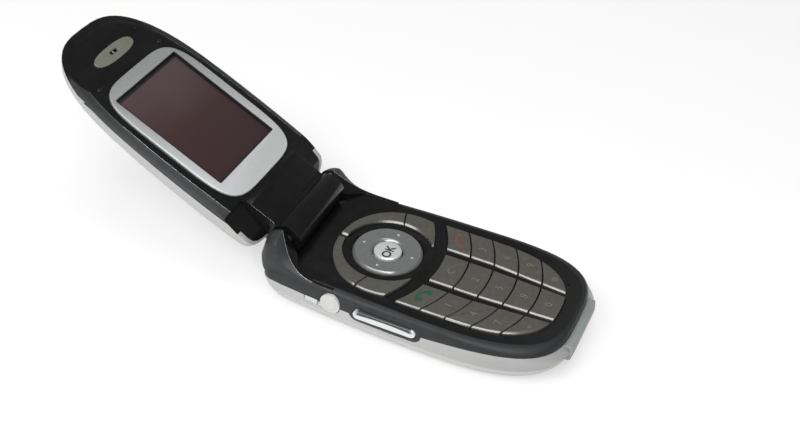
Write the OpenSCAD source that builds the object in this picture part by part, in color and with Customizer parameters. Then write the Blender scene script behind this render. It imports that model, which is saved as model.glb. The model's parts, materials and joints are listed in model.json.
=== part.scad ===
// Clamshell feature phone, standing on its back with the lid swung open
// The origin is the middle of the flat underside, +Y runs to the hinge and +Z is up

/* [Base] */
// Width of the base at its widest line
base_w = 46.4; // [45:0.2:48]
// Length of the base from the front tip to the back of the hinge
base_len = 85.8; // [84:0.2:88]
// Height of the key deck above the underside
deck_z = 12.4; // [12:0.1:12.8]
// Height of the line where the two base shells meet
parting_z = 8.1; // [7.8:0.1:8.4]
// Height that the front rim is raised above the deck
front_lift = 0.9; // [0:0.1:1.6]
// Height by which that line climbs on its way to the front tip
seam_lift = 3.0; // [2.8:0.1:3.4]
// Height of the split between the rear housing and the battery cover
cover_split_z = 1.6; // [1.4:0.1:1.8]

/* [Hinge] */
// Distance of the hinge axis in front of the back of the base
axis_back = 5.0; // [4.8:0.1:5.4]
// Height of the hinge axis
axis_z = 16.7; // [16.5:0.1:17]
// Radius of the hinge ears and of the lid barrel
ear_r = 4.4; // [4.2:0.1:4.5]
// Half of the width of the lid barrel
barrel_half = 13.2; // [12.5:0.1:13.4]
// Slope of the open lid above level
lid_slope = 26.5; // [20:0.5:40]
// Radius of the hinge pins
pin_r = 1.5; // [1.3:0.1:1.6]

/* [Lid] */
// Widest half width of the lid
lid_half = 22.9; // [22.4:0.1:23.2]
// Distance from the hinge axis to the lid tip
lid_reach = 79; // [78:0.1:80]
// Height of the lid's inner face above the hinge axis
face_z = 2.2; // [2:0.1:2.3]
// Thickness of the lid at its root
lid_depth = 8.4; // [8:0.1:8.8]
// Amount by which the lid is thinner at its tip
lid_taper = 3.7; // [2:0.1:3.8]

/* [Keypad] */
// Distance of the navigation disc in front of the hinge axis
nav_ahead = 24.1; // [23.8:0.1:24.4]
// Distance between key rows
row_pitch = 6.87; // [6.6:0.01:6.9]
// Radius of the smile curve of the key rows
row_arc_r = 33; // [30:1:40]
// Height of the key tops above the deck
key_proud = 0.6; // [0.5:0.1:0.7]
// Width of the gap between keys
key_gap = 0.4; // [0.3:0.05:0.5]
// Radius of the navigation disc
nav_r = 9.65; // [9.4:0.05:9.7]
// Radius of the centre key
ok_r = 3.85; // [3.6:0.05:4]
// Radius of the inner edge of the soft keys
soft_inner_r = 12.4; // [12.2:0.1:12.6]

/* [Display] */
// Width of the display window
window_w = 28.8; // [28:0.1:29]
// Height of the display window
window_h = 34.9; // [34:0.1:35]
// Distance from the hinge axis to the near edge of the window
window_start = 22.5; // [22:0.1:23]

/* [Hidden] */
$fn = 64;

// Small gaps between neighbouring pieces
fit_gap = 0.1;
slide_gap = 0.2;
eps = 0.02;

// Base outline
front_y = -base_len / 2;
rear_y = base_len / 2;
widest_y = -5;
corner_len = 8;
front_power = 2.25;
corner_power = 5;
end_steps = 16;
seam_start_y = 10;
seam_end_y = -40;
seam_dip = 0.3;
seam_dip_y = -36;
seam_power = 1.75;
seam_inset = 2.2;
seam_fullness = 3.5;
cavity_rear = 9.5;
side_steps = 5;
corner_steps = 8;
hinge_narrowing = 2.4;

// Hinge axis and its parts
axis_y = rear_y - axis_back;
ear_inner = barrel_half + 0.4;
barrel_clear_r = ear_r + 0.4;
shelf_z = 12.1;
bore_r = 2.6;
barrel_end = 1;
cartridge_r = bore_r - 0.05;
running_gap = 0.05;
pin_hold = 2.8;
cartridge_x = 3;
bush_x = -7.2;
seat_t = 0.4;
flex_r = 2.2;
flex_t = 0.25;
ramp_start_y = 20;
ramp_power = 3.8;
ramp_steps = 12;
ear_steps = 6;
ridge_start_x = 21.2;
ridge_shift = 6.1;
ridge_bend = 3.5;
tuck_start = 0.62;
tuck_len = 0.2;
rear_bulge = 1.7;
ridge_turn = 25;
ear_round = 1.3;

// Walls and levels inside the base
wall = 3.2;
deck_t = 1.2;
cavity_top = deck_z - deck_t;
board_z = 7.5;
board_t = 0.9;
film_t = 0.1;
dome_h = 0.3;
mat_z = 9.3;
mat_t = 0.5;
key_bottom = mat_z + mat_t + 0.45;
key_top = deck_z + key_proud;
plunger_r = 1.2;
plunger_bottom = 9.2;
board_half = 16.6;
board_inset = 5.2;
board_rear = 14;
board_room = 0.5;

// Keypad places
nav_y = axis_y - nav_ahead;
first_row_y = -15.0;
rows = 5;
field_half = 17.6;
field_widest = -24;
field_reach = 25.3;
field_power = 2.6;
middle_half = 5.85;
middle_half_end = 4.85;
outer_inner = 8.2;
outer_inner_end = 6.25;
taper_start = -27;
field_end = -51.5;
key_names = [["key_call", "key_1", "key_4", "key_7", "key_star"],
    ["key_clear", "key_2", "key_5", "key_8", "key_0"],
    ["key_end", "key_3", "key_6", "key_9", "key_hash"]];

// Soft keys round the navigation disc
soft_half = 17.45;
soft_reach = 16.35;
soft_centre = -2.1;
soft_floor = -11.1;
soft_top_gap = 1.3;
soft_split_angle = 7;
nav_bottom = 10.2;
nav_top = deck_z + 0.75;
nav_hole_gap = 0.25;
pivot_r = 6.5;
soft_stem_r = 14.4;
soft_stems = [50, -18];

// Volume key on the left side
volume_y = 4.3;
volume_z = 8.9;
volume_len = 17.7;
volume_h = 2.7;
volume_out = 23.5;
volume_in = 20.7;
surround_len = 20.4;
surround_h = 5.2;
surround_in = 19.6;

// Headset jack cover on the left side
jack_y = 20.1;
jack_z = 8.6;
jack_cap_r = 2.9;
jack_out = 22.35;
jack_floor = 21;
jack_tilt = 5;
jack_pivot_y = 23.4;
strap_y0 = 23.9;
strap_y1 = 27.9;
strap_z = 7.2;
strap_h = 1.7;
arm_half = 0.55;

// Connector cover at the front tip
socket_half = 10.3;
socket_foot_half = 8;
socket_z0 = 4.0;
socket_shoulder_z = 6.6;
socket_z1 = 10.6;
socket_face = front_y + 0.1;
socket_lean = 1.2;
socket_corner = [1.8, 0.65];
socket_depth = 0.6;
socket_recess = 1.35;
socket_inner = front_y + 3.3;
socket_brow = [0.5, 0.6];
socket_flat_h = 2.2;
socket_reach = 8;

// Shield can and motor wells, [x0, x1, floor]
well_y0 = 20;
well_y1 = 30.4;
can_well = [-9.5, -2.5, 3.4];
motor_well = [1.5, 12, 4];
motor_y = 24;
motor_z = 5.8;
motor_r = 1.5;

// Headset socket and system connector bodies
jack_x0 = -18.6;
jack_x1 = -14.6;
jack_half = 2.4;
jack_body_z0 = 7.2;
jack_body_z1 = 9.8;
jack_bore_r = 0.9;
plug_half = 7;
plug_y0 = front_y + 4.1;
plug_y1 = front_y + 7.8;
plug_z0 = 3.5;
plug_z1 = 6.7;
plug_wall = 0.8;

// Battery and its cover
battery_half = 15.8;
battery_y0 = -30;
battery_y1 = 17.5;
battery_z0 = 1.8;
battery_z1 = 6.4;
cover_end_y = 22;
rail_x = 17.3;
rail_w = 1.0;
rail_h = 0.9;
rail_y0 = -16;
rail_y1 = 12;
cover_travel = 5;
grip_half = 7;
grip_y = -27.8;
grip_pitch = 2.4;
grip_w = 1.2;
grip_depth = 0.5;

// Housing screws, two by the hinge and two by the keys
screw_places = [[15.4, 31.5], [19, -12]];
screw_r = 0.7;
screw_head_r = 1.1;
boss_r = 1.8;
boss_top = 9.8;
screw_head_z = 3.4;
screw_tip_z = 9.4;

// Microphone under the deck, by the front tip
mic_x = 10.6;
mic_y = -34.3;
mic_z = 9.3;
mic_r = 0.9;
mic_h = 1.2;
port_r = 0.4;

// Lid outline
lid_widest = 30;
tip_start = 44;
lid_power = 3.1;
lid_root = 4.2;
lid_corner = 12;
lid_narrowing = 1.2;
lid_parting = -0.2;
parting_share = 0.45;
lid_back = face_z - lid_depth;
lid_wall = 2.3;
corner_wall = 1.5;
lid_face_t = 1.4;
lid_back_t = 1.1;
block_end = 16;
scoop_end = 15.6;
scoop_r = ear_r + 0.8;

// Display stack
window_r = 0.6;
bezel_half = 17.5;
bezel_reach = 23;
bezel_power = 5;
bezel_y = window_start + 15.9;
bezel_t = 0.6;
window_top = face_z - 0.2;
window_ledge = face_z - 1.0;
module_half = 15.6;
module_y0 = 19.5;
module_y1 = 60;
module_z0 = -1.5;
lid_board_z = -2.6;
lid_board_t = 0.8;

// Earpiece
ear_y = 68.05;
grille_half = 8.4;
grille_reach = 2.25;
grille_power = 2.5;
grille_pocket = 0.3;
grille_proud = 0.25;
sound_slot_y = 68.2;
sound_slot_half = 1.1;
sound_slot_r = 0.5;
slot_rib = 0.25;
speaker_y = 67.5;
speaker_r = 4.4;
speaker_z0 = -0.6;

// Rubber bumpers on the lid face
bumper_x = 14.4;
bumper_y = 62.5;
bumper_r = 0.7;
bumper_h = 0.5;

black = [0.05, 0.05, 0.055];
silver = [0.78, 0.79, 0.8];
taupe = [0.5, 0.49, 0.46];
steel = [0.62, 0.63, 0.65];
board_green = [0.1, 0.35, 0.2];
dark_metal = [0.3, 0.3, 0.32];
rubber_grey = [0.25, 0.25, 0.26];

// Outline helpers

// Quarter of a rounded end, from its tip to its widest line
function end_curve(half_w, reach, power, steps) =
    [for (i = [0:steps]) let (a = 90 * i / steps)
        [half_w * pow(sin(a), 2 / power), reach * pow(cos(a), 2 / power)]];

// Whole outline from its right half, which starts and ends on the centre line
function mirrored(half) =
    concat(half, [for (i = [len(half) - 2:-1:1]) [-half[i][0], half[i][1]]]);

// Closed superellipse
function oval(half_w, reach, power, steps) =
    let (q = end_curve(half_w, reach, power, steps))
    mirrored(concat([for (p = q) [p[0], -p[1]]], [for (i = [steps - 1:-1:0]) q[i]]));

function base_side(y) =
    base_w / 2 - hinge_narrowing * pow(max(0, y - widest_y) / (axis_y - widest_y), 2);

function base_half_outline(inset, rear_inset, front_inset, power) = concat(
    [for (p = end_curve(base_w / 2 - inset, widest_y - front_y - front_inset, power, end_steps))
        [p[0], widest_y - p[1]]],
    [for (i = [1:side_steps - 1])
        let (y = widest_y + (rear_y - rear_inset - corner_len - widest_y) * i / side_steps)
        [base_side(y) - inset, y]],
    [for (i = [0:corner_steps])
        let (a = 90 * i / corner_steps,
            y = rear_y - rear_inset - corner_len * (1 - pow(sin(a), 2 / corner_power)))
        [(base_side(y) - inset) * pow(cos(a), 2 / corner_power), y]]);

function base_outline(inset, rear_inset) = base_form(inset, rear_inset, inset, front_power);

// Outline with its own set-back and fullness at the front tip
function base_form(inset, rear_inset, front_inset, power) =
    mirrored(base_half_outline(inset, rear_inset, front_inset, power));

function lid_side(y) =
    lid_half - lid_narrowing * pow((lid_widest - y) / lid_widest, 2);

function lid_half_outline(inset, root_inset) = concat(
    [for (i = [0:corner_steps])
        let (a = 90 * i / corner_steps,
            y = lid_corner - (lid_corner - lid_root - root_inset) * pow(cos(a), 2 / corner_power))
        [(lid_side(y) - inset) * pow(sin(a), 2 / corner_power), y]],
    [for (i = [1:side_steps - 1]) let (y = lid_corner + (tip_start - lid_corner) * i / side_steps)
        [lid_side(y) - inset, y]],
    [for (i = [end_steps:-1:0])
        let (p = end_curve(1, lid_reach - tip_start - inset, lid_power, end_steps)[i],
            y = tip_start + p[1])
        [p[0] * (lid_side(y) - inset), y]]);

function lid_outline(inset, root_inset) = mirrored(lid_half_outline(inset, root_inset));

// Lifts a flat outline to a height that rises towards the front tip of the base
function rim_lift(y) = front_lift * pow(max(0, widest_y - y) / (widest_y - front_y), 1.5);
function ring(outline, z, lift) = [for (p = outline) [p[0], p[1], z + lift * rim_lift(p[1])]];

// Height that the line between the base shells gains towards the front tip, less its fall at the tip
function seam_share(y) = max(0, min(1, (seam_start_y - y) / (seam_start_y - seam_end_y)));
function seam_fall(y) = seam_dip * pow(max(0, (seam_dip_y - y) / (seam_dip_y - front_y)), 2);
function seam_rise(y) = seam_lift * pow(sin(90 * seam_share(y)), seam_power) - seam_fall(y);
function seam_ring(outline, z, lift) = [for (p = outline) [p[0], p[1], z + lift * seam_rise(p[1])]];

// Outline of the line between the shells, and one that lies a share of the way up to the rim
function seam_outline(inset) = base_form(inset, 0, seam_inset + inset, seam_fullness);
function side_ring(outline, share) = [for (p = outline)
    let (low = parting_z + seam_rise(p[1]), high = deck_z - 0.05 + rim_lift(p[1]))
    [p[0], p[1], low + share * (high - low)]];

// Raises an outline of the lid's back where the lid thins towards its tip
function back_lift(y) = lid_taper * pow(max(0, y - lid_corner) / (lid_reach - lid_corner), 1.3);
function back_ring(outline, z, lift) = [for (p = outline) [p[0], p[1], z + lift * back_lift(p[1])]];

// Strips across a ring, each between two points and their mirror images
function cap(first, count) =
    [for (i = [0:count / 2 - 1])
        i == 0 ? [first, first + 1, first + count - 1]
        : i == count / 2 - 1 ? [first + i, first + i + 1, first + i + 2]
        : [first + i, first + i + 1, first + count - i - 1, first + count - i]];

function reversed(face) = [for (i = [len(face) - 1:-1:0]) face[i]];

// Solid through a stack of rings, listed from the lowest to the highest
module skin(rings) {
    count = len(rings[0]);
    points = [for (r = rings) each r];
    sides = [for (r = [0:len(rings) - 2], i = [0:count - 1])
        each let (a = r * count + i, b = r * count + (i + 1) % count)
            [[a, a + count, b + count], [a, b + count, b]]];
    upper = [for (face = cap((len(rings) - 1) * count, count)) reversed(face)];
    polyhedron(points, concat(sides, cap(0, count), upper));
}

module plate(outline, z0, z1) {
    translate([0, 0, z0]) linear_extrude(z1 - z0) polygon(outline);
}

module box(x0, x1, y0, y1, z0, z1) {
    translate([x0, y0, z0]) cube([x1 - x0, y1 - y0, z1 - z0]);
}

// Rod along X between two places
module rod(r, x0, x1, y, z) {
    translate([x0, y, z]) rotate([0, 90, 0]) cylinder(r = r, h = x1 - x0);
}

// Profile drawn as [y, z], drawn out along X
module side_prism(profile, x0, x1) {
    translate([x0, 0, 0]) rotate([90, 0, 90]) linear_extrude(x1 - x0) polygon(profile);
}

// Slot with round ends along Y, standing through the left wall
module side_slot(len_y, height, x0, x1, y, z) {
    r = height / 2;
    box(x0, x1, y - len_y / 2 + r, y + len_y / 2 - r, z - r, z + r);
    for (s = [-1, 1])
        rod(r, x0, x1, y + s * (len_y / 2 - r), z);
}

module both_sides() {
    children();
    mirror([1, 0, 0]) children();
}

module lid_place() {
    translate([0, axis_y, axis_z]) rotate([lid_slope, 0, 0]) children();
}

// Base shells

module front_body() {
    skin([side_ring(seam_outline(0), 0),
        side_ring(base_form(0.25, 0.2, 2.3, 3.4), 0.4),
        side_ring(base_form(0.6, 0.3, 2.5, 3.3), 0.73),
        side_ring(base_form(1.0, 0.4, 2.75, 3.2), 0.91),
        side_ring(base_form(1.6, 0.5, 3.1, 3.1), 1),
        ring(base_form(2.3, 0.6, 3.5, 3.1), deck_z + 0.1, 1),
        ring(base_form(5.4, 2, 5.8, 2.8), deck_z, 0)]);
}

// Shell that the side walls would make if they ran on up to the ears
module ear_dome() {
    skin([ring(base_outline(0.6, 0.4), parting_z, 0),
        ring(base_outline(0.65, -0.9), parting_z + 1.5, 0),
        ring(base_outline(0.75, -1.25), parting_z + 2.9, 0),
        ring(base_outline(0.5, -1.2), deck_z + 0.6, 0),
        ring(base_outline(0.5, -0.6), deck_z + 2.8, 0),
        ring(base_outline(0.7, 0), deck_z + 5.2, 0),
        ring(base_outline(1.4, 0.4), deck_z + 6.6, 0),
        ring(base_outline(2.6, 0.7), deck_z + 7.8, 0),
        ring(base_outline(4.8, 1.4), axis_z + ear_r, 0)]);
}

// Share of the way from the start of a shoulder to the hinge axis
function climb(y) = min(1, (y - ramp_start_y) / (axis_y - ramp_start_y));

// Height of a shoulder's ridge, which climbs to the round top of the ear
function ridge_z(y) = y < axis_y
    ? deck_z + 0.1 + (axis_z + ear_r - deck_z - 0.1) * pow(climb(y), ramp_power)
    : axis_z + sqrt(max(0, ear_r * ear_r - (y - axis_y) * (y - axis_y)));

// Section across the right shoulder, from its inner foot over the ridge to the side wall
function shoulder_section(y) =
    let (u = climb(y), top = ridge_z(y), low = deck_z - 3,
        ridge_x = ridge_start_x - ridge_shift * pow(u, ridge_bend),
        tuck = min(1, max(0, u - tuck_start) / tuck_len),
        inner_x = (1 - tuck) * (ridge_x - 1) + tuck * ear_inner,
        inner_top = top - 0.35 * (top - deck_z) * (1 - pow(u, 8)),
        round_r = 0.05 + ear_round * pow(u, 8),
        outer_x = base_side(y) + 1, outer_z = top - 3.6 - 2.5 * u)
    concat([[inner_x, y, low]],
        [for (i = [0:3]) [inner_x + round_r * (1 - cos(30 * i)), y, inner_top - round_r * (1 - sin(30 * i))]],
        [[ridge_x, y, top]],
        [for (p = outer_curve(1.3 + 0.8 * u))
            [ridge_x + (outer_x - ridge_x) * p[0], y, outer_z + (top - outer_z) * p[1]]],
        [[outer_x, y, low]]);

// Fall of a shoulder from its ridge to the side wall, as shares of its width and height
function outer_curve(power) =
    let (f = 2 / power, s0 = pow(sin(ridge_turn), f), c0 = pow(cos(ridge_turn), f))
    [for (i = [1:7]) let (a = ridge_turn + (90 - ridge_turn) * i / 7)
        [(pow(sin(a), f) - s0) / (1 - s0), pow(cos(a), f) / c0]];

module shoulder_loft() {
    back_y = rear_y + rear_bulge;
    skin(concat(
        [for (i = [0:ramp_steps])
            shoulder_section(ramp_start_y + (axis_y - ramp_start_y) * i / ramp_steps)],
        [for (i = [1:ear_steps]) shoulder_section(axis_y + (back_y - axis_y) * i / ear_steps)]));
}

module shoulders() {
    both_sides() intersection() {
        ear_dome();
        shoulder_loft();
    }
}

module rear_body() {
    skin(concat([ring(base_form(5.6, 8.2, 5.9, 2.7), 0, 0),
        ring(base_form(4.0, 6.0, 4.4, 2.75), 0.45, 0),
        ring(base_form(2.7, 4.1, 3.3, 2.8), 1.2, 0)], rear_rings(0)));
}

// Upper part of the rear shell, set in by a given amount
function rear_rings(inset) = [
    ring(base_form(1.5 + inset, 2.6, 2.2 + inset, 2.75), 2.5, 0),
    ring(base_form(0.6 + inset, 1.3, 1.2 + inset, 2.75), 4.6, 0),
    seam_ring(base_form(0.25 + inset, 0.6, 0.5 + inset, 2.9), 6.0, 0.3),
    seam_ring(base_form(0.05 + inset, 0.2, 0.1 + inset, 3.4), 7.0, 0.65),
    seam_ring(seam_outline(inset), parting_z, 1)];

module volume_surround(gap) {
    side_slot(surround_len + 2 * gap, surround_h + 2 * gap, -base_w, -surround_in + gap,
        volume_y, volume_z);
}

module volume_pocket() {
    side_slot(volume_len + 0.5, volume_h + 0.5, -base_w, -19, volume_y, volume_z);
}

// Recess for the round cap and its strap on the left side
module jack_recess() {
    jack_turn() {
        rod(jack_cap_r + slide_gap, -base_w, -jack_floor, jack_y, jack_z);
        box(-base_w, -jack_floor, jack_y, strap_y1 + fit_gap,
            strap_z - strap_h / 2 - fit_gap, strap_z + strap_h / 2 + fit_gap);
        rod(1.6, -base_w / 2, -base_w / 2 + wall + 3, jack_y, jack_z);
    }
}

// The side wall runs in towards the hinge, so what sits in it is turned to match
module jack_turn() {
    translate([-jack_out, jack_y, 0]) rotate([0, 0, -jack_tilt]) translate([jack_out, -jack_y, 0])
        children();
}

// Outline of the connector flap, drawn out along Y
module socket_window(gap) {
    foot = socket_foot_half + gap;
    half = socket_half + gap;
    translate([0, front_y + socket_reach, 0]) rotate([90, 0, 0]) linear_extrude(socket_reach + 2)
        polygon([[-foot, socket_z0 - gap], [foot, socket_z0 - gap], [half, socket_shoulder_z - gap],
            [half, socket_z1 + gap], [-half, socket_z1 + gap], [-half, socket_shoulder_z - gap]]);
}

// Front of the rear shell, set in for the connector flap
module rear_grown(inset) {
    skin(rear_rings(inset));
}

module key_openings() {
    for (col = [0:2])
        translate([0, nav_y, cavity_top - 1]) column_slot(col, deck_t + 4);
    translate([0, nav_y, cavity_top - 1]) {
        cylinder(r = nav_r + nav_hole_gap, h = deck_t + 4);
        both_sides() soft_half_ring(slide_gap, deck_t + 4);
    }
}

module screw_columns(r, z0, z1) {
    for (p = screw_places)
        both_sides() translate([p[0], p[1], z0]) cylinder(r = r, h = z1 - z0);
}

module front_housing() {
    color(black) difference() {
        union() {
            difference() {
                union() {
                    front_body();
                    shoulders();
                }
                plate(base_outline(wall, cavity_rear), parting_z - 1, cavity_top);
            }
            intersection() {
                rear_body();
                volume_surround(0);
            }
            screw_columns(boss_r, parting_z, boss_top);
        }
        key_openings();
        screw_columns(screw_r + 0.05, parting_z - 1, boss_top - 0.2);
        rod(barrel_clear_r, -ear_inner, ear_inner, axis_y, axis_z);
        box(-ear_inner, ear_inner, axis_y, rear_y + 2, shelf_z, axis_z + 6);
        rod(pin_r + eps, -ear_inner - pin_hold, ear_inner + pin_hold, axis_y, axis_z);
        volume_pocket();
        jack_recess();
        translate([mic_x, mic_y, mic_z]) cylinder(r = port_r, h = 6);
    }
}

module rear_housing() {
    inside_top = deck_z;
    color(silver) difference() {
        rear_body();
        box(-base_w, base_w, front_y - 1, cover_end_y, -1, cover_split_z);
        box(-battery_half - fit_gap, battery_half + fit_gap, battery_y0 - fit_gap,
            battery_y1 + fit_gap, -1, battery_z1 + fit_gap);
        plate(base_outline(board_inset - board_room, 12), board_z - 0.3, inside_top);
        plate(base_outline(wall, cavity_rear), parting_z, inside_top);
        volume_surround(fit_gap);
        volume_pocket();
        jack_recess();
        difference() {
            socket_window(0.15);
            rear_grown(socket_recess);
        }
        box(-plug_half - fit_gap, plug_half + fit_gap, plug_y0 - fit_gap, plug_y1 + fit_gap,
            plug_z0 - fit_gap, inside_top);
        box(-plug_half + plug_wall, plug_half - plug_wall, front_y, plug_y0,
            plug_z0 + plug_wall, plug_z1 - plug_wall);
        jack_turn() box(jack_x0 - slide_gap, jack_x1 + 2, jack_y - jack_half - slide_gap,
            jack_y + jack_half + slide_gap, jack_body_z0 - slide_gap, inside_top);
        both_sides() box(rail_x - rail_w / 2 - slide_gap, rail_x + rail_w / 2 + slide_gap,
            rail_y0 - cover_travel - slide_gap, rail_y1 + slide_gap, 0, cover_split_z + rail_h + slide_gap);
        screw_columns(screw_r + 0.1, -1, inside_top);
        screw_columns(boss_r + fit_gap, parting_z, inside_top);
        screw_columns(screw_head_r + 0.1, -1, screw_head_z + 0.8);
        for (well = [can_well, motor_well])
            box(well[0], well[1], well_y0, well_y1, well[2], inside_top);
    }
}

module battery_cover() {
    color(silver) {
        difference() {
            intersection() {
                rear_body();
                box(-base_w, base_w, front_y - 1, cover_end_y - slide_gap, -1,
                    cover_split_z - fit_gap);
            }
            for (i = [0:2])
                translate([0, grip_y - grip_pitch * i, 0])
                    box(-grip_half, grip_half, -grip_w, 0, -1, grip_depth);
        }
        both_sides() box(rail_x - rail_w / 2, rail_x + rail_w / 2, rail_y0, rail_y1,
            cover_split_z - fit_gap - 0.4, cover_split_z + rail_h);
    }
}

module battery_pack() {
    color(dark_metal) box(-battery_half, battery_half, battery_y0, battery_y1 - 1.5,
        battery_z0, battery_z1);
}

module battery_contacts() {
    color("gold") for (i = [-1:1])
        box(i * 3 - 0.8, i * 3 + 0.8, battery_y1 - 1.4, battery_y1 - 0.1, 3, 5.8);
}

// Boards and what they carry

// Plate with the outline of the main board, set in from its edge
module board_plate(inset, z0, z1) {
    intersection() {
        plate(base_outline(board_inset + inset, board_rear + inset), z0, z1);
        difference() {
            box(-board_half + inset, board_half - inset, front_y, rear_y, z0 - 1, z1 + 1);
            box(-base_w, -13, jack_y - 4, jack_y + 4, z0 - 2, z1 + 2);
        }
    }
}

module main_board() {
    color(board_green) board_plate(0, board_z, board_z + board_t);
}

module shield_can() {
    gap = 0.5;
    sheet = 0.4;
    x0 = can_well[0] + gap;
    x1 = can_well[1] - gap;
    y0 = well_y0 + gap;
    y1 = well_y1 - 2.4;
    z0 = can_well[2] + slide_gap;
    color(steel) difference() {
        box(x0, x1, y0, y1, z0, board_z - eps);
        box(x0 + sheet, x1 - sheet, y0 + sheet, y1 - sheet, z0 + sheet, board_z + 1);
    }
}

module dome_sheet() {
    top = board_z + board_t;
    color(steel) {
        board_plate(0.6, top, top + film_t);
        for (col = [-1:1], row = [0:rows - 1])
            translate([col * key_centre_x(row), nav_y + key_centre_y(col, row), top + film_t])
                cylinder(r = 1.9, h = dome_h);
        translate([0, nav_y, top + film_t]) cylinder(r = 1.9, h = dome_h);
        for (sx = [-1, 1], a = soft_stems)
            translate([sx * soft_stem_r * cos(a), nav_y + soft_stem_r * sin(a), top + film_t])
                cylinder(r = 1.9, h = dome_h);
    }
}

module keypad_mat() {
    color(rubber_grey) difference() {
        board_plate(0.3, mat_z, mat_z + mat_t);
        for (col = [-1:1], row = [0:rows - 1])
            translate([col * key_centre_x(row), nav_y + key_centre_y(col, row), mat_z - 1])
                cylinder(r = plunger_r + 0.3, h = 3);
        translate([0, nav_y, mat_z - 1]) cylinder(r = nav_r + 0.2, h = 3);
        for (sx = [-1, 1], a = soft_stems)
            translate([sx * soft_stem_r * cos(a), nav_y + soft_stem_r * sin(a), mat_z - 1])
                cylinder(r = plunger_r + 0.3, h = 3);
    }
}

module side_switch() {
    color(dark_metal) box(-volume_in + 0.4, -14.5, volume_y - 3, volume_y + 3,
        board_z + board_t + film_t, mat_z - fit_gap);
}

module headset_jack() {
    color(dark_metal) jack_turn() difference() {
        box(jack_x0, jack_x1, jack_y - jack_half, jack_y + jack_half, jack_body_z0, jack_body_z1);
        rod(jack_bore_r, -base_w, jack_x1 - 0.6, jack_y, jack_z);
    }
}

module system_connector() {
    color(steel) difference() {
        box(-plug_half, plug_half, plug_y0, plug_y1, plug_z0, plug_z1);
        box(-plug_half + plug_wall, plug_half - plug_wall, front_y, plug_y1 - plug_wall,
            plug_z0 + plug_wall, plug_z1 - plug_wall);
    }
}

module microphone() {
    color(dark_metal) translate([mic_x, mic_y, mic_z]) cylinder(r = mic_r, h = mic_h);
}

module antenna() {
    color([0.85, 0.8, 0.6]) box(-11, 11, 29, 31.5, 9, cavity_top - 0.2);
}

module vibration_motor() {
    color(steel) {
        rod(motor_r, 2, 7.5, motor_y, motor_z);
        rod(motor_r / 3, 7.5, 8.2, motor_y, motor_z);
        rod(motor_r - 0.1, 8.2, 11.2, motor_y, motor_z);
    }
}

module housing_screws() {
    color(steel) {
        screw_columns(screw_head_r, screw_head_z - 0.4, screw_head_z + 0.7);
        screw_columns(screw_r, screw_head_z + 0.7, screw_tip_z);
    }
}

// Hinge pieces

module hinge_shaft() {
    color(steel) rod(pin_r, cartridge_x + seat_t + slide_gap, ear_inner + pin_hold - fit_gap,
        axis_y, axis_z);
}

module hinge_pin() {
    color(steel) rod(pin_r, -ear_inner - pin_hold + fit_gap, bush_x - seat_t - slide_gap,
        axis_y, axis_z);
}

module hinge_cartridge() {
    color(dark_metal) difference() {
        rod(cartridge_r, cartridge_x, barrel_half - barrel_end - fit_gap, axis_y, axis_z);
        rod(pin_r + running_gap, cartridge_x + seat_t, barrel_half, axis_y, axis_z);
    }
}

module hinge_bush() {
    color("white") difference() {
        rod(cartridge_r, -barrel_half + barrel_end + fit_gap, bush_x, axis_y, axis_z);
        rod(pin_r + running_gap, -barrel_half, bush_x - seat_t, axis_y, axis_z);
    }
}

module flex_cable() {
    color([0.7, 0.4, 0.1]) difference() {
        rod(flex_r, bush_x + 0.6, cartridge_x - 0.6, axis_y, axis_z);
        rod(flex_r - flex_t, bush_x, cartridge_x, axis_y, axis_z);
    }
}

// Covers and keys on the sides

module jack_strap() {
    color(silver) jack_turn() box(-jack_out - 0.1, -jack_floor - fit_gap, strap_y0, strap_y1,
        strap_z - strap_h / 2, strap_z + strap_h / 2);
}

module jack_cover() {
    color(silver) jack_turn() {
        rod(jack_cap_r, -jack_out - 0.15, -jack_floor - slide_gap, jack_y, jack_z);
        box(-jack_out - 0.15, -jack_floor - slide_gap - 0.4, jack_y, jack_pivot_y + 0.1,
            strap_z - arm_half, strap_z + arm_half);
        rod(1.1, -jack_floor - 0.3, -jack_floor + 0.3, jack_y, jack_z);
    }
}

// The flap has a flat front that leans in towards its lower edge
module connector_cover() {
    edge_y = socket_face + socket_corner[1];
    corner_x = socket_half - socket_corner[0];
    profile = [[socket_face + socket_lean, socket_z0], [socket_inner, socket_z0],
        [socket_inner, socket_z1], [socket_face + socket_brow[0], socket_z1],
        [socket_face, socket_z1 - socket_brow[1]], [socket_face, socket_z1 - socket_flat_h]];
    plan = [[-socket_half, socket_inner], [-socket_half, edge_y], [-corner_x, socket_face],
        [corner_x, socket_face], [socket_half, edge_y], [socket_half, socket_inner]];
    color(silver) difference() {
        intersection() {
            side_prism(profile, -socket_half, socket_half);
            plate(plan, socket_z0, socket_z1);
            socket_window(0);
        }
        rear_grown(socket_depth);
    }
}

module volume_key() {
    color(silver) side_slot(volume_len, volume_h, -volume_out, -volume_in, volume_y, volume_z);
}

// Navigation cluster

module nav_pivot() {
    color(rubber_grey) translate([0, nav_y, mat_z]) difference() {
        cylinder(r = pivot_r, h = nav_bottom - mat_z - 0.35);
        translate([0, 0, -1]) cylinder(r = ok_r + 0.5, h = 4);
    }
}

module nav_disc() {
    color(steel) translate([0, nav_y, nav_bottom]) difference() {
        cylinder(r = nav_r, h = nav_top - nav_bottom);
        translate([0, 0, -1]) cylinder(r = ok_r + 0.3, h = 6);
    }
}

module ok_key() {
    color(silver) translate([0, nav_y, 0]) {
        translate([0, 0, plunger_bottom + 0.1]) cylinder(r = plunger_r, h = 2);
        translate([0, 0, key_bottom]) cylinder(r = ok_r, h = key_top - key_bottom + 0.1);
    }
}

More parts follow.
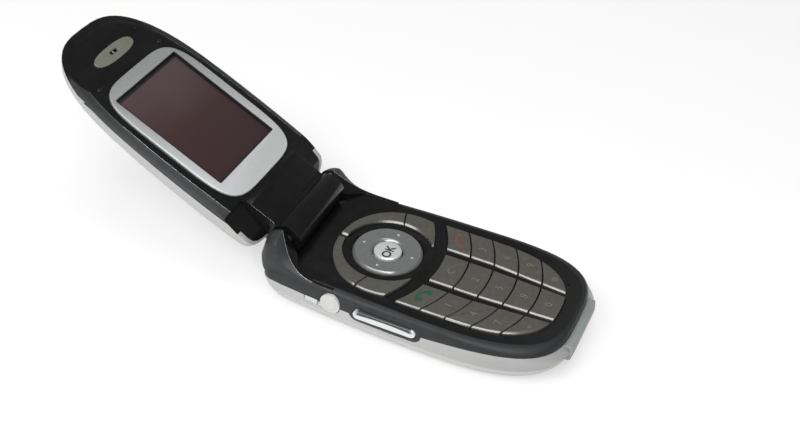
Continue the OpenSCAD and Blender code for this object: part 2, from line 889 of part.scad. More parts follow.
// Right half of the soft key ring, open at the bottom and bridged at the top
module soft_half_ring(grow, height) {
    inner_r = soft_inner_r - grow;
    difference() {
        intersection() {
            translate([0, soft_centre, 0]) linear_extrude(height)
                polygon(oval(soft_half + grow, soft_reach + grow, 2.1, 16));
            translate([0, soft_floor + row_arc_r, 0]) cylinder(r = row_arc_r + grow, h = height, $fn = 160);
            box(soft_top_gap / 2 - grow, base_w, -base_w, base_w, -1, height + 1);
        }
        translate([0, 0, -1]) cylinder(r = inner_r, h = height + 2);
        box(-1, 7.6 - grow, -base_w, 0, -1, height + 1);
    }
}

// One of the two keys on the right half, above or below the split
module soft_key(upper) {
    height = key_top - key_bottom;
    stem = upper ? soft_stems[0] : soft_stems[1];
    color(taupe) translate([0, nav_y, 0]) {
        translate([0, 0, key_bottom]) difference() {
            soft_half_ring(0, height);
            translate([soft_inner_r, 0.6, -1]) rotate([0, 0, soft_split_angle + 10])
                translate([-30, upper ? -30 + key_gap / 2 : -key_gap / 2, 0]) cube([60, 30, height + 2]);
        }
        translate([soft_stem_r * cos(stem), soft_stem_r * sin(stem), plunger_bottom])
            cylinder(r = plunger_r, h = key_bottom - plunger_bottom + 0.5);
    }
}

module softkey_upper_right() { soft_key(true); }
module softkey_lower_right() { soft_key(false); }
module softkey_upper_left() { mirror([1, 0, 0]) soft_key(true); }
module softkey_lower_left() { mirror([1, 0, 0]) soft_key(false); }

// Keypad

function row_y(row) = first_row_y - row_pitch * row;
function arc_rise(x) = row_arc_r - sqrt(row_arc_r * row_arc_r - x * x);
function key_centre_x(row) = row == rows - 1 ? 10.4 : 12.6;
function key_centre_y(col, row) =
    row_y(row) - row_pitch / 2 + (col == 0 ? 0 : arc_rise(key_centre_x(row)));

function field_edge(grow) =
    [for (p = end_curve(field_half + grow, field_reach + grow, field_power, 14))
        [p[0], field_widest - p[1]]];

module field_plate(grow, height) {
    linear_extrude(height) polygon(mirrored(concat(field_edge(grow),
        [[field_half + grow, 0], [0, 0]])));
}

// Plan of the middle or an outer column, before its ends are cut
function column_points(col, grow) = col == 1
    ? [[-middle_half - grow, 0], [-middle_half - grow, taper_start],
       [-middle_half_end - grow, field_end], [middle_half_end + grow, field_end],
       [middle_half + grow, taper_start], [middle_half + grow, 0]]
    : [[outer_inner - grow, 0], [outer_inner - grow, taper_start], [outer_inner_end - grow, field_end],
       [base_w, field_end], [base_w, 0]];

module column_plate(col, grow, height) {
    mirror([col == 0 ? 1 : 0, 0, 0]) intersection() {
        linear_extrude(height) polygon(column_points(col, grow));
        field_plate(grow, height);
    }
}

// Round cutter whose lower edge is the smile curve at a given height
module smile(y, height) {
    translate([0, y + row_arc_r, -1]) cylinder(r = row_arc_r, h = height + 2, $fn = 160);
}

module column_slot(col, height) {
    difference() {
        column_plate(col, slide_gap, height);
        smile(row_y(0) + slide_gap, height);
    }
}

module key(col, row) {
    height = key_top - key_bottom;
    half_gap = key_gap / 2;
    side = col - 1;
    color(taupe) translate([0, nav_y, 0]) {
        translate([0, 0, key_bottom]) difference() {
            if (row == rows - 1) {
                column_plate(col, 0, height);
            } else {
                intersection() {
                    column_plate(col, 0, height);
                    smile(row_y(row + 1) + half_gap, height);
                }
            }
            smile(row_y(row) - (row == 0 ? 0 : half_gap), height);
        }
        translate([side * key_centre_x(row), key_centre_y(side, row), plunger_bottom])
            cylinder(r = plunger_r, h = key_bottom - plunger_bottom + 0.5);
    }
}

// Lid

module lid_face_body() {
    skin([back_ring(lid_outline(0, 0), lid_parting, parting_share),
        back_ring(lid_outline(0.15, 0.1), lid_parting + 0.8, 0.3),
        back_ring(lid_outline(0.7, 0.2), face_z - 1.0, 0.2),
        back_ring(lid_outline(1.7, 0.4), face_z - 0.6, 0.11),
        back_ring(lid_outline(2.75, 0.5), face_z - 0.25, 0.04),
        back_ring(lid_outline(2.9, 0.6), face_z, 0)]);
}

module lid_back_body() {
    skin([back_ring(lid_outline(11, 3), lid_back, 1),
        back_ring(lid_outline(6.5, 1.6), lid_back + 0.35, 0.98),
        back_ring(lid_outline(3.4, 0.9), lid_back + 1.0, 0.9),
        back_ring(lid_outline(1.4, 0.5), lid_back + 2.2, 0.75),
        back_ring(lid_outline(0.75, 0.3), lid_back + 3.2, 0.6),
        back_ring(lid_outline(1.0, 0.3), lid_back + 3.4, 0.55),
        back_ring(lid_outline(0.55, 0.2), lid_back + 3.6, 0.5),
        back_ring(lid_outline(0, 0), lid_parting - 0.05, parting_share)]);
}

// Hollow of the lid's back, following its taper
module lid_hollow() {
    top = lid_parting + 2;
    skin([back_ring(lid_outline(5.6, 1.2), lid_back + lid_back_t, 1),
        back_ring(lid_outline(4, 0.9), lid_back + lid_back_t + 0.6, 1),
        back_ring(lid_outline(lid_wall, 0.5), lid_back + 3.4, 0.7),
        ring(lid_outline(lid_wall, 0.5), top, 0)]);
}

// Room for the shoulders and ears of the base, cut from both lid corners
module lid_scoops(gap) {
    profile = [[scoop_end, 6], [scoop_end, 1.0], [7.5, -0.9], [4.2, -3.0], [0, -scoop_r],
        [-6, -scoop_r], [-6, 6]];
    both_sides() {
        side_prism(profile, barrel_half + gap, lid_half + 2);
        rod(scoop_r, barrel_half + gap, lid_half + 2, 0, 0);
    }
}

module window_plate(grow, z0, z1) {
    half = window_w / 2 + grow;
    translate([0, 0, z0]) linear_extrude(z1 - z0)
        polygon([for (c = [[1, 0, 0], [1, 1, 90], [-1, 1, 180], [-1, 0, 270]], i = [0:4])
            let (a = c[2] - 90 + 22.5 * i, r = window_r,
                cy = c[1] == 0 ? window_start - grow + r : window_start + window_h + grow - r)
            [c[0] * (half - r) + r * cos(a), cy + r * sin(a)]]);
}

module bezel_plate(grow, z0, z1) {
    translate([0, bezel_y, z0]) linear_extrude(z1 - z0)
        polygon(oval(bezel_half + grow, bezel_reach + grow, bezel_power, 18));
}

module grille_plate(grow, z0, z1) {
    translate([0, ear_y, z0]) linear_extrude(z1 - z0)
        polygon(oval(grille_half + grow, grille_reach + grow, grille_power, 12));
}

module sound_slot(z0, z1) {
    box(-sound_slot_half, sound_slot_half, sound_slot_y - sound_slot_r,
        sound_slot_y + sound_slot_r, z0, z1);
    for (s = [-1, 1])
        translate([s * sound_slot_half, sound_slot_y, z0]) cylinder(r = sound_slot_r, h = z1 - z0);
}

module lid_bumper_places(r, z0, z1) {
    both_sides() translate([bumper_x, bumper_y, z0]) cylinder(r = r, h = z1 - z0);
}

module lid_inner_housing() {
    under = face_z - lid_face_t;
    floor_z = lid_back + lid_back_t;
    color(black) lid_place() difference() {
        union() {
            difference() {
                lid_face_body();
                difference() {
                    plate(lid_outline(lid_wall + 1.2, 2), lid_parting - 1, under);
                    box(-base_w, base_w, -5, block_end, -9, 9);
                }
            }
            intersection() {
                union() {
                    plate(lid_outline(corner_wall + fit_gap, 0.6), lid_back + 3.7, lid_parting);
                    plate(lid_outline(5.7, 1.3), floor_z + 0.4, lid_parting);
                }
                box(-base_w, base_w, -5, block_end, -9, 9);
            }
            rod(ear_r, -barrel_half, barrel_half, 0, 0);
            box(-barrel_half, barrel_half, 0, block_end, -ear_r, face_z - 0.1);
        }
        lid_scoops(0);
        rod(bore_r, -barrel_half + barrel_end, barrel_half - barrel_end, 0, 0);
        rod(pin_r + fit_gap, -barrel_half - 1, barrel_half + 1, 0, 0);
        window_plate(fit_gap, window_ledge, face_z + 1);
        window_plate(-0.8, under - 2, face_z + 1);
        grille_plate(fit_gap, face_z - grille_pocket, face_z + 1);
        sound_slot(under - 1, face_z + 1);
        lid_bumper_places(bumper_r + 0.05, face_z - 0.3, face_z + 1);
    }
}

module lid_outer_cover() {
    top = lid_parting + 2;
    color(silver) lid_place() difference() {
        lid_back_body();
        lid_hollow();
        intersection() {
            plate(lid_outline(corner_wall, 0.5), lid_back + 3.6, top);
            box(-base_w, base_w, -5, block_end + fit_gap, -9, 9);
        }
        box(-barrel_half - fit_gap, barrel_half + fit_gap, -5, block_end, -ear_r - 0.05, top);
        rod(ear_r + 0.05, -barrel_half - fit_gap, barrel_half + fit_gap, 0, 0);
        lid_scoops(0);
    }
}

module display_bezel() {
    color(silver) lid_place() difference() {
        bezel_plate(0, face_z, face_z + bezel_t);
        window_plate(fit_gap, face_z - 1, face_z + 2);
    }
}

module display_window() {
    color([0.2, 0.12, 0.12]) lid_place() window_plate(0, window_ledge + 0.05, window_top);
}

module display_module() {
    color([0.4, 0.4, 0.45]) lid_place() box(-module_half, module_half, module_y0, module_y1,
        module_z0, face_z - lid_face_t - fit_gap);
}

module lid_board() {
    color(board_green) lid_place() box(-14, 14, 18, 60, lid_board_z, lid_board_z + lid_board_t);
}

module earpiece_grille() {
    color([0.7, 0.69, 0.63]) lid_place() difference() {
        grille_plate(0, face_z - grille_pocket, face_z + grille_proud);
        difference() {
            sound_slot(face_z - 1, face_z + 2);
            box(-slot_rib, slot_rib, sound_slot_y - 1, sound_slot_y + 1, face_z - 2, face_z);
        }
    }
}

module earpiece_speaker() {
    color(dark_metal) lid_place() translate([0, speaker_y, speaker_z0])
        cylinder(r = speaker_r, h = face_z - lid_face_t - fit_gap - speaker_z0);
}

module lid_bumpers() {
    color(rubber_grey) lid_place() lid_bumper_places(bumper_r, face_z - 0.3, face_z - 0.3 + bumper_h);
}

front_housing();
rear_housing();
battery_cover();
battery_pack();
battery_contacts();
main_board();
shield_can();
dome_sheet();
keypad_mat();
side_switch();
headset_jack();
system_connector();
microphone();
antenna();
vibration_motor();
housing_screws();
hinge_shaft();
hinge_pin();
jack_strap();
jack_cover();
connector_cover();
volume_key();
nav_pivot();
nav_disc();
ok_key();
softkey_upper_left();
softkey_upper_right();
softkey_lower_left();
softkey_lower_right();
for (col = [0:2], row = [0:rows - 1])
    key(col, row);
lid_inner_housing();
lid_outer_cover();
display_bezel();
display_window();
display_module();
lid_board();
earpiece_grille();
earpiece_speaker();
hinge_cartridge();
hinge_bush();
flex_cable();
lid_bumpers();
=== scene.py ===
import bpy
import bmesh
import json
import math
from mathutils import Matrix, Vector

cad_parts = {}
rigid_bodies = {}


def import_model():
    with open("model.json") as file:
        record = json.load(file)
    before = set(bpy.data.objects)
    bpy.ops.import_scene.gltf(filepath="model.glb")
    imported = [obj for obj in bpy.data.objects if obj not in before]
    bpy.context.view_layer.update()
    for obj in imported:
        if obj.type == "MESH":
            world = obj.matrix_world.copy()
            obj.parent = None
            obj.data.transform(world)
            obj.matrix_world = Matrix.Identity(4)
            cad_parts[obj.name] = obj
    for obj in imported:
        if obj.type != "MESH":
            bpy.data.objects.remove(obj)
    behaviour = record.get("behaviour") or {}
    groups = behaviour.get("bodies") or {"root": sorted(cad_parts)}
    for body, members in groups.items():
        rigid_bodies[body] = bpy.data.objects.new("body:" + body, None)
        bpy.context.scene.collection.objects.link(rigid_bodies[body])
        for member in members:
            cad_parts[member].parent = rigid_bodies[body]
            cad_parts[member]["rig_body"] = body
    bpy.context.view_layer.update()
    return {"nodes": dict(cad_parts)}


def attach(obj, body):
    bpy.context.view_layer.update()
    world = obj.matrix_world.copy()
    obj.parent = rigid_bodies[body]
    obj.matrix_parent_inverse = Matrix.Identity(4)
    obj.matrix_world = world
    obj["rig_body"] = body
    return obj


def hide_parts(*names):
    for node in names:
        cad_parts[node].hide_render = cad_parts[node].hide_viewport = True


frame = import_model()
cad = frame["nodes"]
mm = 0.001
# vertices nearer than this are one
weld = 0.001 * mm
print("frame loaded with", len(cad), "nodes")


# plain working steps

def pick(piece):
    bpy.ops.object.select_all(action="DESELECT")
    piece.select_set(True)
    bpy.context.view_layer.objects.active = piece


def openMesh(piece, mode="EDGE"):
    pick(piece)
    bpy.ops.object.mode_set(mode="EDIT")
    bpy.ops.mesh.select_mode(type=mode)
    bpy.ops.mesh.select_all(action="DESELECT")
    return bmesh.from_edit_mesh(piece.data)


def closeMesh():
    bpy.ops.object.mode_set(mode="OBJECT")


def cleanCopy(node, name):
    # a welded copy of the solid, with its flat faces made whole again
    piece = bpy.data.objects.new(name, cad[node].data.copy())
    bpy.context.scene.collection.objects.link(piece)
    pick(piece)
    bpy.ops.mesh.customdata_custom_splitnormals_clear()
    piece.data.materials.clear()
    openMesh(piece)
    bpy.ops.mesh.select_all(action="SELECT")
    bpy.ops.mesh.remove_doubles(threshold=2 * weld)
    bpy.ops.mesh.dissolve_limited(angle_limit=math.radians(0.4))
    closeMesh()
    return piece


def applyModifier(piece, kind, **settings):
    pick(piece)
    modifier = piece.modifiers.new(kind.lower(), kind)
    for key, value in settings.items():
        setattr(modifier, key, value)
    bpy.ops.object.modifier_apply(modifier=modifier.name)


def roundEdges(piece, width, segments=2, angle=32):
    applyModifier(piece, "BEVEL", width=width * mm, segments=segments, limit_method="ANGLE",
                  angle_limit=math.radians(angle), use_clamp_overlap=True)


def smooth(piece, angle=38):
    pick(piece)
    bpy.ops.object.shade_smooth_by_angle(angle=math.radians(angle))


def seat(piece):
    # the place goes into the mesh, so the piece sits at the origin
    pick(piece)
    bpy.ops.object.transform_apply(location=True, rotation=True, scale=True)


# the lid's pieces are drawn flat on its hinge line and then swung up
lidHinge = {"y": 37.9, "z": 16.7, "slope": 26.5}


def ontoLid(piece):
    seat(piece)
    swing = Matrix.Translation((0, lidHinge["y"] * mm, lidHinge["z"] * mm))
    piece.data.transform(swing @ Matrix.Rotation(math.radians(lidHinge["slope"]), 4, "X"))


def standFor(piece, node, finish):
    piece.data.materials.clear()
    piece.data.materials.append(finish)
    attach(piece, cad[node]["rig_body"])
    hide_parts(node)


def addOn(piece, node, finish):
    piece.data.materials.clear()
    piece.data.materials.append(finish)
    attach(piece, cad[node]["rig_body"])


# finishes

def newFinish(name, **values):
    made = bpy.data.materials.new(name)
    made.use_nodes = True
    shader = made.node_tree.nodes["Principled BSDF"]
    for key, value in values.items():
        shader.inputs[key].default_value = value
    return made, made.node_tree, shader


def grain(tree, scale, detail=4, stretch=(1, 1, 1), turn=(0, 0, 0), rough=0.55):
    coords = tree.nodes.new("ShaderNodeTexCoord")
    place = tree.nodes.new("ShaderNodeMapping")
    noise = tree.nodes.new("ShaderNodeTexNoise")
    place.inputs["Scale"].default_value = stretch
    place.inputs["Rotation"].default_value = [math.radians(a) for a in turn]
    noise.inputs["Scale"].default_value = scale
    noise.inputs["Detail"].default_value = detail
    noise.inputs["Roughness"].default_value = rough
    tree.links.new(coords.outputs["Object"], place.inputs["Vector"])
    tree.links.new(place.outputs["Vector"], noise.inputs["Vector"])
    return noise.outputs["Fac"]


def specks(tree, scale, size):
    # small round dots, one at most in each cell
    coords = tree.nodes.new("ShaderNodeTexCoord")
    cells = tree.nodes.new("ShaderNodeTexVoronoi")
    cells.inputs["Scale"].default_value = scale
    tree.links.new(coords.outputs["Object"], cells.inputs["Vector"])
    return between(tree, cells.outputs["Distance"], size, size * 0.4, 0, 1)


def between(tree, value, low, high, toLow, toHigh):
    span = tree.nodes.new("ShaderNodeMapRange")
    ends = {"From Min": low, "From Max": high, "To Min": toLow, "To Max": toHigh}
    for key, number in ends.items():
        span.inputs[key].default_value = number
    tree.links.new(value, span.inputs["Value"])
    return span.outputs["Result"]


def shades(tree, value, stops):
    ramp = tree.nodes.new("ShaderNodeValToRGB")
    band = ramp.color_ramp
    while len(band.elements) < len(stops):
        band.elements.new(0.5)
    for element, (place, colour) in zip(band.elements, stops):
        element.position = place
        element.color = (*colour, 1)
    tree.links.new(value, ramp.inputs["Fac"])
    return ramp.outputs["Color"]


def mixed(tree, share, first, second):
    mix = tree.nodes.new("ShaderNodeMix")
    mix.data_type = "RGBA"
    tree.links.new(share, mix.inputs["Factor"])
    tree.links.new(first, mix.inputs[6])
    if isinstance(second, tuple):
        mix.inputs[7].default_value = (*second, 1)
    else:
        tree.links.new(second, mix.inputs[7])
    return mix.outputs[2]


def maths(tree, operation, first, second):
    node = tree.nodes.new("ShaderNodeMath")
    node.operation = operation
    tree.links.new(first, node.inputs[0])
    tree.links.new(second, node.inputs[1])
    return node.outputs[0]


def placeOn(tree, axis):
    coords = tree.nodes.new("ShaderNodeTexCoord")
    split = tree.nodes.new("ShaderNodeSeparateXYZ")
    tree.links.new(coords.outputs["Object"], split.inputs["Vector"])
    return split.outputs[axis]


def alongBase(tree, axis, ends, most=1):
    # 0 to most between two places along an axis
    return between(tree, placeOn(tree, axis), ends[0] * mm, ends[1] * mm, 0, most)


def alongLid(tree, first, last):
    # 0 to 1 between two distances from the hinge, measured on the swung lid
    coords = tree.nodes.new("ShaderNodeTexCoord")
    place = tree.nodes.new("ShaderNodeMapping")
    place.inputs["Rotation"].default_value = (math.radians(-lidHinge["slope"]), 0, 0)
    split = tree.nodes.new("ShaderNodeSeparateXYZ")
    tree.links.new(coords.outputs["Object"], place.inputs["Vector"])
    tree.links.new(place.outputs["Vector"], split.inputs["Vector"])
    flatten = Matrix.Rotation(math.radians(-lidHinge["slope"]), 3, "X")
    hinge = flatten @ Vector((0, lidHinge["y"], lidHinge["z"]))
    return between(tree, split.outputs["Y"], (hinge.y + first) * mm, (hinge.y + last) * mm, 0, 1)


def relief(tree, shader, height, depth, strength=1.0):
    bump = tree.nodes.new("ShaderNodeBump")
    bump.inputs["Strength"].default_value = strength
    bump.inputs["Distance"].default_value = depth * mm
    tree.links.new(height, bump.inputs["Height"])
    tree.links.new(bump.outputs["Normal"], shader.inputs["Normal"])


def paint(tree, shader, colour, roughness):
    tree.links.new(colour, shader.inputs["Base Color"])
    tree.links.new(roughness, shader.inputs["Roughness"])


def makeGlossBlack():
    # the front of the deck is drawn paler, a painted sheen
    look = {"low": (0.0042, 0.0044, 0.0045), "high": (0.0068, 0.007, 0.0068),
            "dust": (0.05, 0.05, 0.046), "front": (0.0125, 0.013, 0.0135), "haze": (-22, -40)}
    made, tree, shader = newFinish("glossBlack", **{"Specular IOR Level": 0.25})
    tone = shades(tree, grain(tree, 320, 6), [(0.35, look["low"]), (0.7, look["high"])])
    # painted sheen: paler towards the front of the deck
    tone = mixed(tree, alongBase(tree, "Y", look["haze"]), tone, look["front"])
    dust = specks(tree, 210, 0.05)
    lines = grain(tree, 60, 3, stretch=(40, 2, 2), turn=(0, 0, 25))
    rough = maths(tree, "ADD", between(tree, grain(tree, 900, 6), 0.3, 0.7, 0.13, 0.2),
                  between(tree, lines, 0.62, 0.72, 0, 0.12))
    paint(tree, shader, mixed(tree, dust, tone, look["dust"]), rough)
    relief(tree, shader, grain(tree, 2600, 3), 0.004, 0.35)
    return made


def makeSheenFinish(name, fade):
    # a painted sheen: the black's lit outward sides are drawn paler and bluish, fading out towards
    # the base's front or the lid's tip
    look = {"low": (0.023, 0.0248, 0.026), "high": (0.033, 0.0352, 0.037),
            "bare": (0.019, 0.0202, 0.0212)}
    made, tree, shader = newFinish(name, **{"Specular IOR Level": 0.24})
    tone = shades(tree, grain(tree, 420, 6), [(0.3, look["low"]), (0.75, look["high"])])
    paint(tree, shader, mixed(tree, fade(tree), tone, look["bare"]),
          between(tree, grain(tree, 1500, 5), 0.3, 0.7, 0.4, 0.52))
    relief(tree, shader, grain(tree, 5200, 3), 0.006, 0.4)
    return made


def makeSatinSilver():
    # painted light: the base dims towards its front as painted shade, pales where it turns under as
    # a painted reflection of the floor, and dims again at the floor as a painted contact shadow
    look = {"low": (0.425, 0.428, 0.42), "high": (0.49, 0.493, 0.486),
            "wear": (0.375, 0.375, 0.366), "front": (0.33, 0.334, 0.328),
            "under": (0.53, 0.533, 0.527), "toFront": (12, -44), "frontShare": 0.85,
            "turn": (4.9, 4.2), "foot": (2.4, 1.2)}
    made, tree, shader = newFinish("satinSilver", Metallic=0.35)
    flakeAndShade = shades(tree, grain(tree, 7200, 2), [(0.3, look["low"]), (0.7, look["high"])])
    # painted shade towards the front
    ahead = alongBase(tree, "Y", look["toFront"], look["frontShare"])
    flakeAndShade = mixed(tree, ahead, flakeAndShade, look["front"])
    # painted reflection of the floor where the shell turns under
    flakeAndShade = mixed(tree, alongBase(tree, "Z", look["turn"]), flakeAndShade, look["under"])
    # painted contact shadow at the floor
    flakeAndShade = mixed(tree, alongBase(tree, "Z", look["foot"]), flakeAndShade, look["front"])
    scuff = between(tree, grain(tree, 130, 7), 0.63, 0.74, 0, 0.5)
    paint(tree, shader, mixed(tree, scuff, flakeAndShade, look["wear"]),
          between(tree, grain(tree, 1200, 5), 0.3, 0.7, 0.34, 0.46))
    relief(tree, shader, grain(tree, 6500, 2), 0.004, 0.35)
    return made


def makeKeyTaupe():
    look = {"low": (0.084, 0.082, 0.07), "high": (0.111, 0.108, 0.095),
            "wear": (0.15, 0.146, 0.13)}
    made, tree, shader = newFinish("keyTaupe", Metallic=0.35, **{"Specular IOR Level": 1.0})
    tone = shades(tree, grain(tree, 900, 6), [(0.3, look["low"]), (0.72, look["high"])])
    rubbed = between(tree, grain(tree, 260, 5), 0.6, 0.78, 0, 0.35)
    paint(tree, shader, mixed(tree, rubbed, tone, look["wear"]),
          between(tree, grain(tree, 1700, 4), 0.3, 0.7, 0.22, 0.26))
    relief(tree, shader, grain(tree, 900, 2), 0.002, 0.2)
    return made


def makeMetal(name, low, high, roughLow, roughHigh, metallic):
    made, tree, shader = newFinish(name, Metallic=metallic)
    tone = shades(tree, grain(tree, 700, 4), [(0.25, low), (0.75, high)])
    paint(tree, shader, tone, between(tree, grain(tree, 320, 3), 0.3, 0.7, roughLow, roughHigh))
    return made


def makeSideKeyMetal():
    # a painted reflection: bright below a bowed line along the key, dark and glossy above it
    look = {"low": (0.63, 0.643, 0.639), "high": (0.68, 0.69, 0.685), "dark": (0.06, 0.066, 0.067),
            "y": 4.3, "half": 8.9, "z": 8.95, "bow": 0.55, "soft": 0.12, "ends": (0.66, 0.86)}
    made, tree, shader = newFinish("sideKeyMetal", Metallic=0.35)
    across = between(tree, placeOn(tree, "Y"), (look["y"] - look["half"]) * mm,
                     (look["y"] + look["half"]) * mm, -1, 1)
    square = maths(tree, "MULTIPLY", across, across)
    line = between(tree, square, 0, 1, (look["z"] + look["bow"]) * mm, look["z"] * mm)
    above = maths(tree, "SUBTRACT", placeOn(tree, "Z"), line)
    reflectionShare = maths(tree, "MULTIPLY", between(tree, above, 0, look["soft"] * mm, 0, 1),
                  between(tree, square, *look["ends"], 1, 0))
    tone = shades(tree, grain(tree, 600, 3), [(0.25, look["low"]), (0.75, look["high"])])
    paint(tree, shader, mixed(tree, reflectionShare, tone, look["dark"]),
          between(tree, grain(tree, 300, 3), 0.3, 0.7, 0.22, 0.27))
    return made


def makePlain(name, low, high, roughLow, roughHigh, scale=900, depth=0.01, metallic=0.0):
    made, tree, shader = newFinish(name, Metallic=metallic)
    tone = shades(tree, grain(tree, scale, 6), [(0.3, low), (0.7, high)])
    paint(tree, shader, tone,
          between(tree, grain(tree, scale * 2.3, 5), 0.3, 0.7, roughLow, roughHigh))
    relief(tree, shader, grain(tree, scale * 5, 3), depth, 0.4)
    return made


def makeScreenGlass():
    # painted reflection: the screen is drawn paler towards the tip, with random mottling
    look = {"tip": (0.074, 0.05, 0.055), "middle": (0.044, 0.024, 0.024),
            "root": (0.036, 0.018, 0.021), "span": (22, 58)}
    made, tree, shader = newFinish("screenGlass", **{"Specular IOR Level": 0.32})
    along = alongLid(tree, *look["span"])
    mottledSheen = tree.nodes.new("ShaderNodeMath")
    mottledSheen.operation = "MULTIPLY_ADD"
    tree.links.new(grain(tree, 55, 3), mottledSheen.inputs[0])
    mottledSheen.inputs[1].default_value = 0.5
    tree.links.new(along, mottledSheen.inputs[2])
    tone = shades(tree, between(tree, mottledSheen.outputs[0], 0.15, 1.35, 0, 1),
                  [(0.08, look["root"]), (0.5, look["middle"]), (0.95, look["tip"])])
    rows = grain(tree, 1, 1, stretch=(9000, 9000, 200))
    paint(tree, shader, tone, between(tree, rows, 0.3, 0.7, 0.16, 0.22))
    return made


def makeBrushedBezel():
    # painted reflection: the bezel is drawn pale at the hinge end and dark at the tip
    look = {"root": (0.66, 0.675, 0.68), "tip": (0.315, 0.324, 0.324),
            "streak": (0.84, 0.85, 0.85), "span": (20, 62)}
    made, tree, shader = newFinish("brushedBezel", Metallic=0.5)
    base = shades(tree, alongLid(tree, *look["span"]), [(0.1, look["root"]), (0.9, look["tip"])])
    fine = grain(tree, 900, 5, stretch=(7, 0.7, 7), turn=(-lidHinge["slope"], 0, 0), rough=0.7)
    streaks = between(tree, fine, 0.48, 0.76, 0, 0.6)
    paint(tree, shader, mixed(tree, streaks, base, look["streak"]),
          between(tree, fine, 0.3, 0.7, 0.3, 0.42))
    relief(tree, shader, fine, 0.002, 0.3)
    return made


def makePrint(name, low, high, rough=0.5):
    return makePlain(name, low, high, rough - 0.06, rough + 0.06, scale=1800, depth=0.003)


glossBlack = makeGlossBlack()
# painted sheen on the base's outward sides and on the lid's sloped band
slateSide = makeSheenFinish("slateSide", lambda tree: alongBase(tree, "Y", (-4, -32)))
lidSlate = makeSheenFinish("lidSlate", lambda tree: alongLid(tree, 46, 66))
satinSilver = makeSatinSilver()
keyTaupe = makeKeyTaupe()
brushedBezel = makeBrushedBezel()
navMetal = makeMetal("navMetal", (0.2, 0.205, 0.203), (0.226, 0.231, 0.228), 0.2, 0.26, 0.5)
brightMetal = makeMetal("brightMetal", (0.68, 0.695, 0.69), (0.73, 0.74, 0.735), 0.24, 0.3, 0.5)
sideKeyMetal = makeSideKeyMetal()
khakiMetal = makeMetal("khakiMetal", (0.195, 0.2, 0.163), (0.22, 0.225, 0.186), 0.19, 0.23, 0.4)
# painted highlight for the bevels on the sharpest creases
polishedEdge = makeMetal("polishedEdge", (0.6, 0.61, 0.6), (0.72, 0.73, 0.72), 0.2, 0.26, 0.2)
paleSilver = makeMetal("paleSilver", (0.52, 0.522, 0.507), (0.585, 0.585, 0.57), 0.36, 0.44, 0.25)
flapRubber = makeMetal("flapRubber", (0.215, 0.245, 0.24), (0.25, 0.285, 0.278), 0.42, 0.55, 0.1)
screenGlass = makeScreenGlass()
blackPrint = makePrint("blackPrint", (0.006, 0.006, 0.007), (0.011, 0.011, 0.012), 0.4)
darkPrint = makePrint("darkPrint", (0.012, 0.013, 0.014), (0.022, 0.022, 0.022))
greenPrint = makePrint("greenPrint", (0.011, 0.06, 0.029), (0.016, 0.075, 0.036))
redPrint = makePrint("redPrint", (0.115, 0.045, 0.04), (0.14, 0.056, 0.05))
paleMark = makePrint("paleMark", (0.42, 0.43, 0.42), (0.5, 0.51, 0.5))
faintLegend = makePrint("faintLegend", (0.114, 0.111, 0.098), (0.128, 0.125, 0.111))
greyRubber = makePlain("greyRubber", (0.04, 0.04, 0.042), (0.06, 0.06, 0.062), 0.7, 0.85)
blackRubber = makePlain("blackRubber", (0.004, 0.004, 0.005), (0.007, 0.007, 0.008), 0.3, 0.4)
boardGreen = makePlain("boardGreen", (0.008, 0.07, 0.03), (0.014, 0.11, 0.045), 0.35, 0.5)
plainSteel = makePlain("plainSteel", (0.32, 0.33, 0.34), (0.4, 0.41, 0.42), 0.26, 0.38,
                       metallic=0.95)
darkMoulding = makePlain("darkMoulding", (0.025, 0.025, 0.027), (0.04, 0.04, 0.042), 0.5, 0.65)
contactGold = makePlain("contactGold", (0.6, 0.4, 0.12), (0.7, 0.48, 0.17), 0.25, 0.35,
                        metallic=1.0)
amberFilm = makePlain("amberFilm", (0.36, 0.13, 0.012), (0.46, 0.18, 0.02), 0.3, 0.4)
paleMoulding = makePlain("paleMoulding", (0.6, 0.55, 0.4), (0.7, 0.64, 0.48), 0.5, 0.62)
panelGlass = makePlain("panelGlass", (0.03, 0.02, 0.02), (0.045, 0.028, 0.028), 0.2, 0.3)
print("finishes made:", len(bpy.data.materials))

# what stays inside keeps its solid and takes a finish
insideFinish = {
    "battery_pack": darkMoulding, "battery_contacts": contactGold, "main_board": boardGreen,
    "shield_can": plainSteel, "dome_sheet": plainSteel, "keypad_mat": greyRubber,
    "side_switch": darkMoulding, "headset_jack": darkMoulding, "system_connector": plainSteel,
    "microphone": darkMoulding, "antenna": paleMoulding, "vibration_motor": plainSteel,
    "housing_screws": plainSteel, "hinge_shaft": plainSteel, "hinge_pin": plainSteel,
    "nav_pivot": greyRubber, "display_module": panelGlass, "lid_board": boardGreen,
    "earpiece_speaker": darkMoulding, "hinge_cartridge": plainSteel, "hinge_bush": paleMoulding,
    "flex_cable": amberFilm,
}
for node, finish in insideFinish.items():
    cad[node].data.materials.clear()
    cad[node].data.materials.append(finish)
print("inside pieces finished:", len(insideFinish))


# shells of the base and the lid

shells = {"edge": 0.12, "segments": 2}


def lidPoint(co):
    flatten = Matrix.Rotation(math.radians(-lidHinge["slope"]), 3, "X")
    return flatten @ (co - Vector((0, lidHinge["y"], lidHinge["z"])) * mm)


def paintSides(piece, sideFinishes, slotFor):
    # the outward sides take the other finishes, a painted sheen and on the lid also the silver rim;
    # the deck and the face keep the gloss
    for finish in sideFinishes:
        piece.data.materials.append(finish)
    for face in piece.data.polygons:
        face.material_index = slotFor(face.center / mm, face.normal)


# each shoulder's ridge runs in from the rim to the ear
ridge = {"start": 20.0, "end": 37.9, "x": 21.2, "shift": 6.1, "bend": 3.5}


def ridgeX(y):
    u = min(1, max(0, (y - ridge["start"]) / (ridge["end"] - ridge["start"])))
    return ridge["x"] - ridge["shift"] * u ** ridge["bend"]


